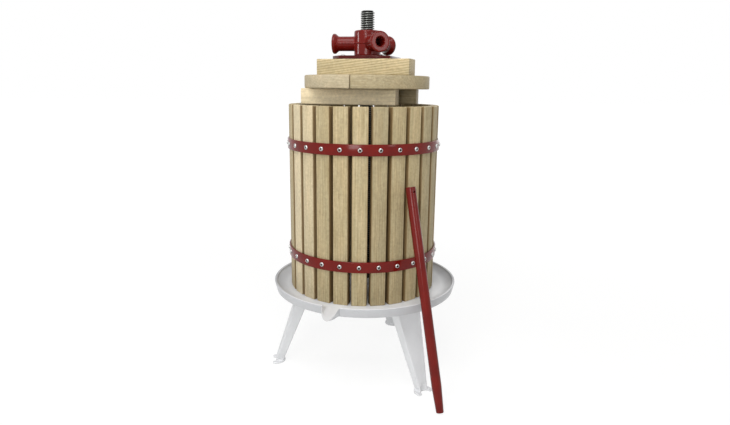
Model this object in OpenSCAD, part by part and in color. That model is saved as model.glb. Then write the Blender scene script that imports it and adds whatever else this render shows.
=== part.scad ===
// Hand fruit press: a slatted basket in a footed juice tray, with a fixed screw
// through the middle, a turning head, a pressure plate, blocks and half-moon boards.
// The screw's axis is Z, the legs stand on Z = 0 and the spout side is -Y.

/* [Basket] */
// Distance across the outer faces of two opposite slats
basket_d = 287; // [250:1:320]
// Height of the slats
slat_h = 357; // [320:1:420]
// Number of slats
slat_count = 26; // [20:1:28]
// Width of one slat
slat_w = 28; // [20:0.5:30]
// Thickness of one slat
slat_t = 16; // [12:0.5:18]
// Rounding of the slats' long edges
slat_edge = 1.5; // [0.5:0.25:3]
// Turn of the slats about the basket's axis
slat_phase = -5.3; // [-6:0.1:6]
// How far the loose basket stands off the screw's axis
basket_off = 5.5; // [0:0.25:6]

/* [Hoops] */
// Width of a hoop
hoop_w = 20; // [14:0.5:30]
// Thickness of a hoop
hoop_t = 3; // [2:0.25:5]
// Middle of the upper hoop above the slats' lower ends
upper_hoop_z = 284; // [220:1:300]
// Middle of the lower hoop above the slats' lower ends
lower_hoop_z = 74; // [40:1:120]
// Gap between a hoop and the slats' corners
hoop_fit = 0.1; // [0.05:0.05:0.3]
// Shank diameter of the hoop screws
hoop_screw_d = 4; // [3:0.25:5]
// Shank length of the hoop screws, under the head
hoop_screw_l = 15; // [9:0.5:16]
// Head diameter of the hoop screws
hoop_screw_head_d = 8; // [6:0.25:10]
// Head height of the hoop screws
hoop_screw_head_h = 2.4; // [1.5:0.1:3]

/* [Tray] */
// Outer diameter of the tray's rim
tray_d = 367; // [350:1:400]
// Height of the tray's floor above the ground
base_h = 170; // [140:1:220]
// Diameter of the flat floor
tray_floor_d = 300; // [296:1:310]
// Height of the rim above the floor
tray_rim_h = 10; // [6:0.5:20]
// Width of the rim's flat lip
tray_lip_w = 5; // [3:0.5:8]
// Thickness of the floor
tray_floor_t = 5; // [4:0.5:8]
// Depth of the outer skirt below the floor's upper face
tray_skirt_h = 8; // [7:0.5:14]
// Thickness of the skirt at its lower edge
tray_skirt_t = 5; // [3:0.5:7]
// Draft of the skirt from the rim to its lower edge
tray_draft = 4.5; // [2:0.25:7]
// Rise of the underside from the floor to the skirt
tray_hollow = 1.5; // [0.5:0.25:2.5]
// Diameter of the boss under the screw
boss_d = 60; // [48:1:80]
// Height of the boss above the floor
boss_h = 8; // [4:0.5:14]
// Depth of the boss below the floor
boss_drop = 8; // [4:0.5:14]

/* [Spout] */
// Direction of the spout
spout_az = -111; // [-125:1:-95]
// Reach of the spout beyond the rim
spout_reach = 26; // [15:1:40]
// Width of the spout at the rim
spout_w = 42; // [24:1:48]
// Width of the spout at its tip
spout_tip_w = 9; // [8:0.5:18]
// Wall of the spout beside its channel
spout_wall = 3; // [2:0.25:4]
// Height of the spout's walls at its tip, from the tray's floor
spout_tip_h = -1; // [-1.5:0.5:5]
// Fall of the channel from the floor to the tip
spout_fall = 3; // [1:0.5:4]
// Width of the channel's flat bottom
spout_flat = 4; // [2:0.5:6]

/* [Legs] */
// Direction of the first leg
leg_az = 184.5; // [180:0.5:190]
// Outer edge of a leg at its top, from the screw's axis
leg_top_out = 132; // [126:1:146]
// Depth of a leg at its top, from the outer edge inwards
leg_top_depth = 25; // [20:1:32]
// Outer edge of a leg at the ground
leg_foot_out = 187; // [184:1:190]
// Depth of a leg at the ground
leg_foot_depth = 16; // [12:1:22]
// Width of a leg at its top
leg_top_w = 61; // [48:1:64]
// Width of a leg at the ground
leg_foot_w = 18; // [16:1:26]
// Wall of the leg's channel
leg_wall = 5; // [4:0.5:7]
// Height at which the channel ends above the ground
leg_toe_h = 34; // [24:1:60]
// Thickness of the flange under the tray
flange_t = 8; // [6:0.5:12]
// Width of the flange
flange_w = 66; // [65:1:76]
// Inner end of the flange from the screw's axis
flange_in = 78; // [72:1:82]
// Overhang of the flange beyond the leg's outer edge
flange_lap = 5; // [2:0.5:8]
// Corner rounding of the flange
flange_round = 5; // [3:0.5:6]

/* [Feet] */
// Thickness of the foot pad
foot_t = 4; // [3:0.5:8]
// Diameter of the round foot pad
foot_d = 38; // [36:1:42]
// Reach of the pad's cut-off end beyond the leg's outer edge
foot_reach = 4.5; // [4:0.5:7]
// Setback of the pad's middle from its cut-off end
foot_set = 7; // [5:0.5:9]
// Width of the open slot in the foot
foot_slot_w = 19; // [16:0.5:21]
// Depth of the slot
foot_slot_l = 10.5; // [10:0.5:12]

/* [Leg bolts] */
// Shank diameter of the leg bolts
bolt_d = 8; // [6:0.5:10]
// Distance of the leg bolts from the screw's axis
bolt_r = 93; // [91:0.5:94]
// Spacing of the two bolts of a leg
bolt_spacing = 36; // [30:1:38]
// Head diameter of the leg bolts
bolt_head_d = 17; // [14:0.5:20]
// Head height of the leg bolts
bolt_head_h = 4; // [2.5:0.25:6]
// Radial clearance of the bolts in their holes
bolt_clear = 0.25; // [0.1:0.05:0.5]
// Thickness of the washers under the leg nuts
washer_t = 1.6; // [1:0.1:3]
// Diameter of those washers
washer_d = 16; // [14:0.5:18]
// Height of the leg nuts
nut_h = 6.5; // [5:0.5:9]
// Width of the leg nuts across their flats
nut_af = 13; // [10:0.5:15]
// Length of the bolts below their nuts
bolt_proud = 2; // [1:0.5:6]

/* [Screw] */
// Outside diameter of the screw
screw_d = 26; // [22:0.5:28]
// Top of the screw above the tray's floor
screw_h = 528; // [515:1:620]
// Chamfer at the screw's top
screw_chamfer = 2; // [1:0.25:4]
// Diameter of the shank through the tray
shank_d = 20; // [16:0.5:21]
// Radial clearance of the shank in the tray
shank_clear = 0.15; // [0.05:0.05:0.3]
// Diameter of the washer under the tray
shank_washer_d = 42; // [36:1:50]
// Thickness of that washer
shank_washer_t = 3; // [2:0.5:5]
// Width of the lower nut across its flats
shank_nut_af = 30; // [27:0.5:34]
// Height of the lower nut
shank_nut_h = 16; // [12:0.5:22]
// Length of shank below the nut
shank_end = 5; // [2:0.5:12]

/* [Boards and blocks] */
// Diameter of the two half-moon boards together
board_d = 238; // [200:1:242]
// Thickness of the boards
board_t = 24; // [18:0.5:34]
// Gap between the two boards
board_seam = 2; // [0.5:0.25:4]
// Hole in the boards round the screw
board_bore_d = 34; // [30:1:46]
// Rounding of the boards' outer edges
board_edge = 1.5; // [0.5:0.25:3]
// Turn of the boards' seam about the screw
board_turn = -18; // [-40:1:40]
// Length of one block
block_l = 176; // [150:1:178]
// Width of one block
block_w = 44; // [36:0.5:44.5]
// Height of one block
block_h = 29; // [24:0.5:34]
// Rounding of the blocks' long edges
block_edge = 2.5; // [1:0.25:5]
// Gap between the two lower blocks
lower_gap = 55; // [28:0.5:56]
// Gap between the two upper blocks
upper_gap = 28; // [28:0.5:30]
// Turn of the two lower blocks about the screw
lower_turn = -14.5; // [-18:0.5:-8]
// Turn of the two upper blocks and the plate about the screw
upper_turn = -22; // [-40:1:40]
// How far the lower front block is pushed along its length
lower_front_shift = -22; // [-22:1:10]
// How far the lower rear block is pushed along its length
lower_rear_shift = 4; // [-10:1:10]
// How far the upper front block is pushed along its length
upper_front_shift = 9; // [-10:1:12]
// How far the upper rear block is pushed along its length
upper_rear_shift = -19; // [-20:1:10]
// Height of the lower blocks above the basket's rim
stack_gap = 0.5; // [0.3:0.1:4]

/* [Pressure plate] */
// Side of the square plate
plate_w = 112; // [100:1:120]
// Thickness of the plate
plate_t = 6; // [4:0.5:10]
// Cut corners of the plate
plate_corner = 20; // [10:1:26]
// Radial clearance of the plate round the screw
plate_clear = 1.5; // [0.5:0.25:3]
// Half the spacing of the plate's screws along the blocks
plate_screw_x = 38; // [34:1:42]
// Half the spacing of the plate's screws across the blocks
plate_screw_y = 29; // [24:1:32]
// Shank diameter of the plate's screws
plate_screw_d = 5; // [4:0.25:6]
// Length of the plate's screws in the blocks
plate_screw_l = 18; // [12:1:22]
// Head diameter of the plate's screws
plate_screw_head_d = 10; // [8:0.5:11]
// Head height of the plate's screws
plate_screw_head_h = 3; // [2:0.25:3.5]

/* [Head] */
// Diameter of the head's hub
hub_d = 50; // [44:1:56]
// Height of the hub
hub_h = 47; // [44:1:56]
// Rounding of the hub's upper and lower edges
hub_edge = 3; // [1:0.5:4]
// Radial clearance of the hub on the screw
hub_clear = 0.07; // [0.02:0.01:0.1]
// Gap between the hub and the plate
hub_gap = 0.3; // [0.2:0.05:0.5]
// Direction of the first lever socket
head_az = -73; // [-90:1:-60]
// Number of lever sockets
socket_count = 3; // [2:1:4]
// Reach of a socket from the screw's axis
socket_reach = 66; // [58:1:74]
// Diameter of a socket's arm
socket_arm_d = 27; // [23:0.5:30]
// Diameter of the collar at a socket's mouth
socket_collar_d = 37; // [31:0.5:37.5]
// Length of that collar
socket_collar_l = 5; // [3:0.5:8]
// Length of the flare behind the collar
socket_flare_l = 6; // [3:0.5:10]
// Bore of a socket
socket_bore_d = 17; // [15:0.25:18]
// Depth of a socket
socket_depth = 36; // [28:1:40]
// Chamfer round a socket's mouth
socket_chamfer = 1; // [0.5:0.25:2]

/* [Handle] */
// Outside diameter of the handle's tube
handle_d = 18; // [16:0.5:20]
// Length of the handle
handle_l = 400; // [380:1:420]
// Wall of the tube
handle_wall = 2; // [1.5:0.25:3]
// Diameter of the drawn-down end
handle_end_d = 13.6; // [11:0.1:14.5]
// Length of the taper to that end
handle_taper_l = 46; // [30:1:70]
// Diameter of the hanging hole
handle_hole_d = 4.5; // [3:0.25:6]
// Distance of the hanging hole from the upper end
handle_hole_z = 9; // [6:0.5:20]
// Direction in which the handle leans on the basket
handle_az = -60; // [-66:0.5:-54]
// Distance of the handle's foot from the basket's axis
handle_stand = 256; // [245:1:270]
// Gap between the leaning handle and the slats
handle_gap = 0.05; // [0:0.05:0.5]

/* [Hidden] */
$fn = 64;
eps = 0.01;
over = 1;
// Radial clearance of wood screws in their pilot holes
pilot_clear = 0.05;
leg_count = 3;
arc_steps = 8;
// Step between the spout and the faces of the rim and the floor
spout_step = 0.4;

slat_face_r = basket_d / 2;
slat_corner_r = norm([slat_face_r, slat_w / 2 - slat_edge]);
slat_step = 360 / slat_count;
hoop_ir = slat_corner_r + hoop_fit;
hoop_or = hoop_ir + hoop_t;
hoop_heights = [lower_hoop_z, upper_hoop_z];

tray_r = tray_d / 2;
tray_floor_r = tray_floor_d / 2;
tray_lip_in = tray_r - tray_lip_w;
tray_foot_r = tray_r - tray_draft;
tray_under = base_h - tray_floor_t;
boss_top = base_h + boss_h;
boss_bottom = tray_under - boss_drop;
spout_tip_r = tray_r + spout_reach;

flange_under = tray_under - flange_t;
leg_top_in = leg_top_out - leg_top_depth;
leg_foot_in = leg_foot_out - leg_foot_depth;
foot_end = leg_foot_out + foot_reach;
foot_r = foot_end - foot_set;
bolt_hole_r = bolt_d / 2 + bolt_clear;
bolt_end = flange_under - washer_t - nut_h - bolt_proud;

stack_z = base_h + slat_h + stack_gap;
board_z = stack_z + block_h;
upper_z = board_z + board_t;
plate_z = upper_z + block_h;
plate_top = plate_z + plate_t;
head_z = plate_top + hub_gap;
socket_z = head_z + hub_h / 2;
plate_bore_r = screw_d / 2 + plate_clear;

handle_r = handle_d / 2;
handle_top_r = slat_corner_r + handle_r + handle_gap;
handle_lean = asin((handle_stand - handle_top_r) / handle_l);
handle_foot_z = handle_end_d / 2 * sin(handle_lean);

function two_digits(i) = str(i < 10 ? "0" : "", i);
function slat_name(i) = str("slat_", two_digits(i + 1));
function leg_angle(i) = leg_az + i * 360 / leg_count;

leg_names = ["left_leg", "front_leg", "rear_leg"];
SLATS = [for (i = [0 : slat_count - 1]) slat_name(i)];

// Shared shapes

module rounded_rect(w, h, r) {
    square([w - 2 * r, h], center = true);
    square([w, h - 2 * r], center = true);
    for (x = [-1, 1], y = [-1, 1])
        translate([x * (w / 2 - r), y * (h / 2 - r)]) circle(r);
}

// A domed screw or bolt head, flat face down on z = 0
module dome(d, h) {
    rotate_extrude()
        polygon(concat([[0, 0]], [for (k = [0 : arc_steps - 1])
            [d / 2 * cos(90 * k / arc_steps), h * sin(90 * k / arc_steps)]], [[0, h]]));
}

module hex_nut(af, h, bore_r) {
    difference() {
        cylinder(d = af / cos(30), h = h, $fn = 6);
        translate([0, 0, -over]) cylinder(r = bore_r, h = h + 2 * over);
    }
}

module washer(d, t, bore_r) {
    difference() {
        cylinder(d = d, h = t);
        translate([0, 0, -over]) cylinder(r = bore_r, h = t + 2 * over);
    }
}

// Basket

module basket_place() {
    translate([-basket_off, 0, base_h]) children();
}

// Turns a piece that is drawn at the front, -Y, to the place of slat i
module at_slat(i) {
    rotate(slat_phase + i * slat_step) children();
}

// A bore along -Y from the axis, for one hoop screw at height z
module radial_bore(z, r, from_r, to_r) {
    translate([0, -from_r, z]) rotate([90, 0, 0]) cylinder(r = r, h = to_r - from_r);
}

module slat(i) {
    color("burlywood") basket_place() at_slat(i) difference() {
        translate([0, slat_t / 2 - slat_face_r, 0])
            linear_extrude(slat_h) rounded_rect(slat_w, slat_t, slat_edge);
        for (z = hoop_heights)
            radial_bore(z, hoop_screw_d / 2 + pilot_clear,
                hoop_or - hoop_screw_l - over / 2, slat_face_r + over);
    }
}

module hoop(z) {
    color("firebrick") basket_place() difference() {
        translate([0, 0, z - hoop_w / 2]) cylinder(r = hoop_or, h = hoop_w);
        translate([0, 0, z - hoop_w / 2 - over]) cylinder(r = hoop_ir, h = hoop_w + 2 * over);
        for (i = [0 : slat_count - 1])
            at_slat(i) radial_bore(z, hoop_screw_d / 2 + pilot_clear, slat_face_r, hoop_or + over);
    }
}

module hoop_screws(z) {
    color("silver") basket_place() for (i = [0 : slat_count - 1]) at_slat(i) {
        radial_bore(z, hoop_screw_d / 2, hoop_or - hoop_screw_l, hoop_or + eps);
        translate([0, -hoop_or, z]) rotate([90, 0, 0]) dome(hoop_screw_head_d, hoop_screw_head_h);
    }
}

// Tray

// Points of the dish's curved wall, from the flat floor up to the lip
tray_wall = [for (k = [0 : arc_steps])
    [tray_floor_r + (tray_lip_in - tray_floor_r) * sin(90 * k / arc_steps),
     tray_rim_h * (1 - cos(90 * k / arc_steps))]];

module tray_dish() {
    lip_round = tray_lip_w / 3;
    rotate_extrude()
        polygon(concat([[0, 0]], tray_wall,
            [[tray_r - lip_round, tray_rim_h], [tray_r, tray_rim_h - lip_round],
             [tray_foot_r, -tray_skirt_h], [tray_foot_r - tray_skirt_t, -tray_skirt_h],
             [tray_foot_r - tray_skirt_t, tray_hollow - tray_floor_t], [tray_floor_r, -tray_floor_t],
             [0, -tray_floor_t]]));
}

// The overlap of a plan (radius, width), a side view (radius, height) and a front view (width, height)
module three_views(plan, side, front) {
    span = 2 * spout_tip_r;
    intersection() {
        linear_extrude(span, center = true) polygon(plan);
        rotate([90, 0, 0]) linear_extrude(span, center = true) polygon(side);
        rotate([90, 0, 90]) linear_extrude(span) polygon(front);
    }
}

module spout_body() {
    root = spout_w / 2;
    tip = spout_tip_w / 2;
    start = tray_foot_r - tray_skirt_t / 2;
    top = tray_rim_h - spout_step;
    bottom = spout_step - tray_skirt_h;
    three_views([[start, -root], [spout_tip_r, -tip], [spout_tip_r, tip], [start, root]],
        [[start, bottom], [spout_tip_r, bottom + spout_wall], [spout_tip_r, spout_tip_h],
            [tray_r, top], [tray_lip_in + tray_lip_w / 5, top], [start, tray_rim_h / 3]],
        [[-root, top], [root, top], [root / 2, bottom], [-root / 2, bottom]]);
}

module spout_channel() {
    root = spout_w / 2 - spout_wall;
    tip = spout_tip_w / 2 - spout_wall / 2;
    start = tray_floor_r - spout_wall;
    end = spout_tip_r + over;
    top = tray_rim_h + over;
    three_views([[start, -root], [end, -tip], [end, tip], [start, root]],
        [[start, -spout_step], [end, -spout_fall], [end, top], [start, top]],
        [[-root, top], [root, top], [spout_flat / 2, -spout_fall], [-spout_flat / 2, -spout_fall]]);
}

module tray() {
    color("whitesmoke") difference() {
        translate([0, 0, base_h]) difference() {
            union() {
                tray_dish();
                translate([0, 0, -tray_floor_t - boss_drop])
                    cylinder(d = boss_d, h = boss_h + tray_floor_t + boss_drop);
                rotate(spout_az) spout_body();
            }
            rotate(spout_az) spout_channel();
        }
        translate([0, 0, boss_bottom - over])
            cylinder(r = shank_d / 2 + shank_clear, h = boss_top - boss_bottom + 2 * over);
        each_leg_bolt() translate([0, 0, tray_under - over])
            cylinder(r = bolt_hole_r, h = tray_floor_t + 2 * over);
    }
}

// Legs

module each_leg_bolt() {
    for (i = [0 : leg_count - 1])
        rotate(leg_angle(i)) leg_bolt_places() children();
}

module leg_bolt_places() {
    for (s = [-1, 1]) translate([bolt_r, s * bolt_spacing / 2, 0]) children();
}

// A drafted block: the overlap of its side view (radius, height) and front view (width, height)
module drafted(side, front, depth) {
    intersection() {
        rotate([90, 0, 0]) linear_extrude(depth, center = true) polygon(side);
        rotate([90, 0, 90]) linear_extrude(depth) polygon(front);
    }
}

module leg_post() {
    half_top = leg_top_w / 2;
    half_foot = leg_foot_w / 2;
    // Slopes of the outer face, the inner face and the sides per millimetre of height
    rise = tray_under;
    out_slope = (leg_foot_out - leg_top_out) / rise;
    side_slope = (half_top - half_foot) / rise;
    toe_out = leg_foot_out - out_slope * leg_toe_h - leg_wall;
    toe_half = half_foot + side_slope * leg_toe_h - leg_wall;
    span = 2 * foot_end;
    difference() {
        drafted([[leg_top_in, rise], [leg_top_out, rise], [leg_foot_out, 0], [leg_foot_in, 0]],
            [[-half_top, rise], [half_top, rise], [half_foot, 0], [-half_foot, 0]], span);
        drafted([[0, flange_under], [leg_top_out - leg_wall + out_slope * flange_t, flange_under],
                [toe_out, leg_toe_h], [0, leg_toe_h]],
            [[leg_wall - half_top, rise], [half_top - leg_wall, rise],
                [toe_half, leg_toe_h], [-toe_half, leg_toe_h]], span);
    }
}

module leg_flange() {
    length = leg_top_out + flange_lap - flange_in;
    translate([flange_in + length / 2, 0, flange_under])
        linear_extrude(flange_t) rounded_rect(length, flange_w, flange_round);
}

// A round pad with its outer end cut off square
module leg_foot() {
    difference() {
        translate([foot_r, 0, 0]) cylinder(d = foot_d, h = foot_t);
        translate([foot_end, -foot_d / 2, -over]) cube([foot_d, foot_d, foot_t + 2 * over]);
    }
}

// The open bolt slot, cut straight up so that a bolt's head clears the leg
module foot_slot() {
    slot_r = foot_slot_w / 2;
    translate([foot_end - foot_slot_l + slot_r, 0, -over]) {
        cylinder(r = slot_r, h = leg_toe_h + over);
        translate([0, -slot_r, 0]) cube([foot_slot_l, foot_slot_w, leg_toe_h + over]);
    }
}

module leg(i) {
    color("whitesmoke") rotate(leg_angle(i)) difference() {
        union() {
            leg_post();
            leg_flange();
            leg_foot();
        }
        foot_slot();
        leg_bolt_places() translate([0, 0, flange_under - over])
            cylinder(r = bolt_hole_r, h = flange_t + 2 * over);
    }
}

module leg_bolts() {
    color("silver") each_leg_bolt() {
        translate([0, 0, bolt_end]) cylinder(d = bolt_d, h = base_h - bolt_end + eps);
        translate([0, 0, base_h]) dome(bolt_head_d, bolt_head_h);
    }
}

module leg_washers() {
    color("silver") each_leg_bolt()
        translate([0, 0, flange_under - washer_t]) washer(washer_d, washer_t, bolt_hole_r);
}

module leg_nuts() {
    color("silver") each_leg_bolt()
        translate([0, 0, flange_under - washer_t - nut_h])
            hex_nut(nut_af, nut_h, bolt_d / 2 + pilot_clear);
}

// Screw

module press_screw() {
    bottom = boss_bottom - shank_washer_t - shank_nut_h - shank_end;
    top = base_h + screw_h;
    r = screw_d / 2;
    color("dimgray") rotate_extrude()
        polygon([[0, bottom], [shank_d / 2, bottom], [shank_d / 2, boss_top], [r, boss_top],
            [r, top - screw_chamfer], [r - screw_chamfer, top], [0, top]]);
}

module screw_washer() {
    color("silver") translate([0, 0, boss_bottom - shank_washer_t])
        washer(shank_washer_d, shank_washer_t, shank_d / 2 + shank_clear);
}

module screw_nut() {
    color("silver") translate([0, 0, boss_bottom - shank_washer_t - shank_nut_h])
        hex_nut(shank_nut_af, shank_nut_h, shank_d / 2 + pilot_clear);
}

// Boards, blocks and pressure plate

// side is -1 for the front block of a layer and 1 for the rear one
module block(turn, gap, side, shift, z) {
    rotate(turn) translate([shift, side * (gap + block_w) / 2, z + block_h / 2])
        rotate([90, 0, 90])
            linear_extrude(block_l, center = true) rounded_rect(block_w, block_h, block_edge);
}

module each_plate_screw() {
    rotate(upper_turn) for (x = [-1, 1], y = [-1, 1])
        translate([x * plate_screw_x, y * plate_screw_y, 0]) children();
}

module lower_block(side, shift) {
    color("tan") block(lower_turn, lower_gap, side, shift, stack_z);
}

module upper_block(side, shift) {
    color("tan") difference() {
        block(upper_turn, upper_gap, side, shift, upper_z);
        each_plate_screw() translate([0, 0, plate_z - plate_screw_l - over])
            cylinder(r = plate_screw_d / 2 + pilot_clear, h = plate_screw_l + 2 * over);
    }
}

// side is -1 for the left board and 1 for the right one
module board(side) {
    r = board_d / 2;
    e = board_edge;
    color("tan") rotate(board_turn) difference() {
        translate([0, 0, board_z]) rotate_extrude()
            polygon([[board_bore_d / 2, 0], [r - e, 0], [r, e], [r, board_t - e],
                [r - e, board_t], [board_bore_d / 2, board_t]]);
        translate([-side * r + side * board_seam / 2, 0, board_z + board_t / 2])
            cube([2 * r, 2 * r + 2 * over, board_t + 2 * over], center = true);
    }
}

module pressure_plate() {
    half = plate_w / 2;
    cut = half - plate_corner;
    color("firebrick") difference() {
        rotate(upper_turn) translate([0, 0, plate_z]) linear_extrude(plate_t)
            polygon([[half, -cut], [half, cut], [cut, half], [-cut, half],
                [-half, cut], [-half, -cut], [-cut, -half], [cut, -half]]);
        translate([0, 0, plate_z - over]) cylinder(r = plate_bore_r, h = plate_t + 2 * over);
        each_plate_screw() translate([0, 0, plate_z - over])
            cylinder(r = plate_screw_d / 2 + bolt_clear, h = plate_t + 2 * over);
    }
}

module plate_screws() {
    color("silver") each_plate_screw() {
        translate([0, 0, plate_z - plate_screw_l])
            cylinder(d = plate_screw_d, h = plate_screw_l + plate_t + eps);
        translate([0, 0, plate_top]) dome(plate_screw_head_d, plate_screw_head_h);
    }
}

// Head

module hub() {
    r = hub_d / 2;
    e = hub_edge;
    rotate_extrude()
        polygon(concat([[0, 0]],
            [for (k = [0 : arc_steps]) [r - e + e * sin(90 * k / arc_steps),
                e - e * cos(90 * k / arc_steps)]],
            [for (k = [0 : arc_steps]) [r - e + e * cos(90 * k / arc_steps),
                hub_h - e + e * sin(90 * k / arc_steps)]],
            [[0, hub_h]]));
}

// Turned about the socket's own axis, which runs out along +X at the hub's middle height
module socket_outside() {
    arm = socket_arm_d / 2;
    collar = socket_collar_d / 2;
    flare_at = socket_reach - socket_collar_l;
    rotate([0, 90, 0]) rotate_extrude()
        polygon([[0, 0], [arm, 0], [arm, flare_at - socket_flare_l], [collar, flare_at],
            [collar, socket_reach - socket_chamfer], [collar - socket_chamfer, socket_reach],
            [0, socket_reach]]);
}

module each_socket() {
    for (i = [0 : socket_count - 1])
        translate([0, 0, socket_z]) rotate(head_az + i * 360 / socket_count) children();
}

module press_head() {
    color("firebrick") difference() {
        union() {
            translate([0, 0, head_z]) hub();
            each_socket() socket_outside();
        }
        translate([0, 0, head_z - over])
            cylinder(r = screw_d / 2 + hub_clear, h = hub_h + 2 * over);
        each_socket() translate([socket_reach - socket_depth, 0, 0]) rotate([0, 90, 0])
            cylinder(d = socket_bore_d, h = socket_depth + over);
    }
}

// Handle

module handle() {
    end_r = handle_end_d / 2;
    color("firebrick") translate([-basket_off, 0, 0]) rotate(handle_az)
        translate([handle_stand, 0, handle_foot_z]) rotate([0, -handle_lean, 0]) difference() {
            rotate_extrude()
                polygon([[end_r - handle_wall, 0], [end_r, 0], [handle_r, handle_taper_l],
                    [handle_r, handle_l], [handle_r - handle_wall, handle_l],
                    [handle_r - handle_wall, handle_taper_l]]);
            translate([0, 0, handle_l - handle_hole_z]) rotate([0, 90, 0])
                cylinder(d = handle_hole_d, h = handle_d + 2 * over, center = true);
        }
}

tray();
for (i = [0 : leg_count - 1])
    leg(i);
leg_bolts();
leg_washers();
leg_nuts();
press_screw();
screw_washer();
screw_nut();
hoop(lower_hoop_z);  // lower_hoop
hoop(upper_hoop_z);  // upper_hoop
hoop_screws(lower_hoop_z);  // lower_hoop_screws
hoop_screws(upper_hoop_z);  // upper_hoop_screws
lower_block(-1, lower_front_shift);  // lower_front_block
lower_block(1, lower_rear_shift);  // lower_rear_block
board(-1);  // left_board
board(1);  // right_board
upper_block(-1, upper_front_shift);  // upper_front_block
upper_block(1, upper_rear_shift);  // upper_rear_block
pressure_plate();
plate_screws();
press_head();
handle();
for (i = [0 : slat_count - 1])
    slat(i);
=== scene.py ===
# Fruit press: the looks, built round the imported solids
import bmesh
import bpy
import math
import random
from mathutils import Matrix, Vector


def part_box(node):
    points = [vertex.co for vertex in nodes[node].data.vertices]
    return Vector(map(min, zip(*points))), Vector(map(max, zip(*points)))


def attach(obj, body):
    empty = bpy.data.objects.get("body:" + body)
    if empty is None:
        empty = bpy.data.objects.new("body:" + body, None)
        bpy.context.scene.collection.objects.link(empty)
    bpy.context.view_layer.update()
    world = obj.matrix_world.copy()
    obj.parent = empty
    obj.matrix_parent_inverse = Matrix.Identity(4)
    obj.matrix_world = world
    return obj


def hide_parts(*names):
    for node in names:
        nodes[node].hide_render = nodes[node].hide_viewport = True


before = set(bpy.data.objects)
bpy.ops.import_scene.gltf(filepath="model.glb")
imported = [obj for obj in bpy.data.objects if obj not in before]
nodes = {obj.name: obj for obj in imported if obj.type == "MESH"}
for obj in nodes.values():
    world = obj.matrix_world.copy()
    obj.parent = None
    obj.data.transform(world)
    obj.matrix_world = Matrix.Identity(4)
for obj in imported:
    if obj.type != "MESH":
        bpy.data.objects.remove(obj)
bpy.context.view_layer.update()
mm = 0.001
weld = 0.005 * mm  # points closer than this are one point
print("frame loaded:", len(nodes), "nodes")


# Small helpers

def hexColour(code):
    parts = [int(code[i:i + 2], 16) / 255 for i in (1, 3, 5)]
    return [c / 12.92 if c <= 0.04045 else ((c + 0.055) / 1.055) ** 2.4 for c in parts] + [1.0]


def addNode(tree, kind, settings=None, inputs=None):
    node = tree.nodes.new(kind)
    for name, value in (settings or {}).items():
        setattr(node, name, value)
    for name, value in (inputs or {}).items():
        if isinstance(value, bpy.types.NodeSocket):
            tree.links.new(value, node.inputs[name])
        else:
            node.inputs[name].default_value = value
    return node


def newMaterial(name):
    material = bpy.data.materials.new(name)
    material.use_nodes = True
    tree = material.node_tree
    return material, tree, tree.nodes["Principled BSDF"]


def makePiece(bm, name, material, body, replaced, sharp=35):
    mesh = bpy.data.meshes.new(name)
    bm.to_mesh(mesh)
    bm.free()
    mesh.materials.append(material)
    mesh.shade_smooth()
    mesh.set_sharp_from_angle(angle=math.radians(sharp))
    piece = bpy.data.objects.new(name, mesh)
    bpy.context.scene.collection.objects.link(piece)
    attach(piece, body)
    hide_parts(*replaced)


# For the bare CAD nodes that stay as they are
def paintNode(node, material):
    nodes[node].data.materials.clear()
    nodes[node].data.materials.append(material)


def roundEdges(bm, width, segments, minAngle):
    edges = [e for e in bm.edges if e.is_manifold and e.calc_face_angle() > math.radians(minAngle)]
    bmesh.ops.bevel(bm, geom=edges, offset=width * mm, segments=segments, profile=0.5,
                    affect="EDGES", material=-1, clamp_overlap=True)


# A merged copy of a CAD node with its flat faces joined and its sharp edges rounded
def softCopy(node, width, flatAngle=0.4):
    bm = bmesh.new()
    bm.from_mesh(nodes[node].data)
    bmesh.ops.remove_doubles(bm, verts=bm.verts, dist=weld)
    bmesh.ops.dissolve_limit(bm, angle_limit=math.radians(flatAngle), verts=bm.verts, edges=bm.edges)
    roundEdges(bm, width, segments=2, minAngle=30)
    return bm


# A closed profile of (radius, height) points in mm, spun once round Z, with its edges rounded
def spunRing(points, steps, edge):
    bm = bmesh.new()
    verts = [bm.verts.new((r * mm, 0, z * mm)) for r, z in points]
    edges = [bm.edges.new((verts[i], verts[(i + 1) % len(verts)])) for i in range(len(verts))]
    bmesh.ops.spin(bm, geom=verts + edges, cent=(0, 0, 0), axis=(0, 0, 1), dvec=(0, 0, 0),
                   angle=2 * math.pi, steps=steps, use_merge=True, use_duplicate=False)
    bmesh.ops.remove_doubles(bm, verts=bm.verts, dist=weld)
    bmesh.ops.recalc_face_normals(bm, faces=bm.faces)
    roundEdges(bm, edge, segments=3, minAngle=40)
    return bm


# Camera: place and sensor in mm, turns in degrees, focal length in pixels of the picture, clip in metres
camera = dict(place=(-64.5, -1098.0, 559.8), yaw=-3.31, pitch=12.65, roll=-0.65,
              focal=559.3, pictureWidth=730, sensor=36, clip=(0.05, 60))


def makeCamera(c):
    yaw, pitch, roll = (math.radians(c[k]) for k in ("yaw", "pitch", "roll"))
    side = Vector((math.cos(yaw), math.sin(yaw), 0))
    ahead = Vector((-math.sin(yaw), math.cos(yaw), 0))
    high = Vector((0, 0, 1))
    forward = ahead * math.cos(pitch) - high * math.sin(pitch)
    level = ahead * math.sin(pitch) + high * math.cos(pitch)
    right = side * math.cos(roll) - level * math.sin(roll)
    top = side * math.sin(roll) + level * math.cos(roll)
    data = bpy.data.cameras.new("pressCamera")
    data.sensor_width = c["sensor"]
    data.lens = c["focal"] / c["pictureWidth"] * c["sensor"]
    data.clip_start, data.clip_end = c["clip"]
    view = bpy.data.objects.new("pressCamera", data)
    bpy.context.scene.collection.objects.link(view)
    turn = Matrix((right, top, -forward)).transposed()
    view.matrix_world = Matrix.Translation(Vector(c["place"]) * mm) @ turn.to_4x4()
    bpy.context.scene.camera = view


makeCamera(camera)

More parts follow.
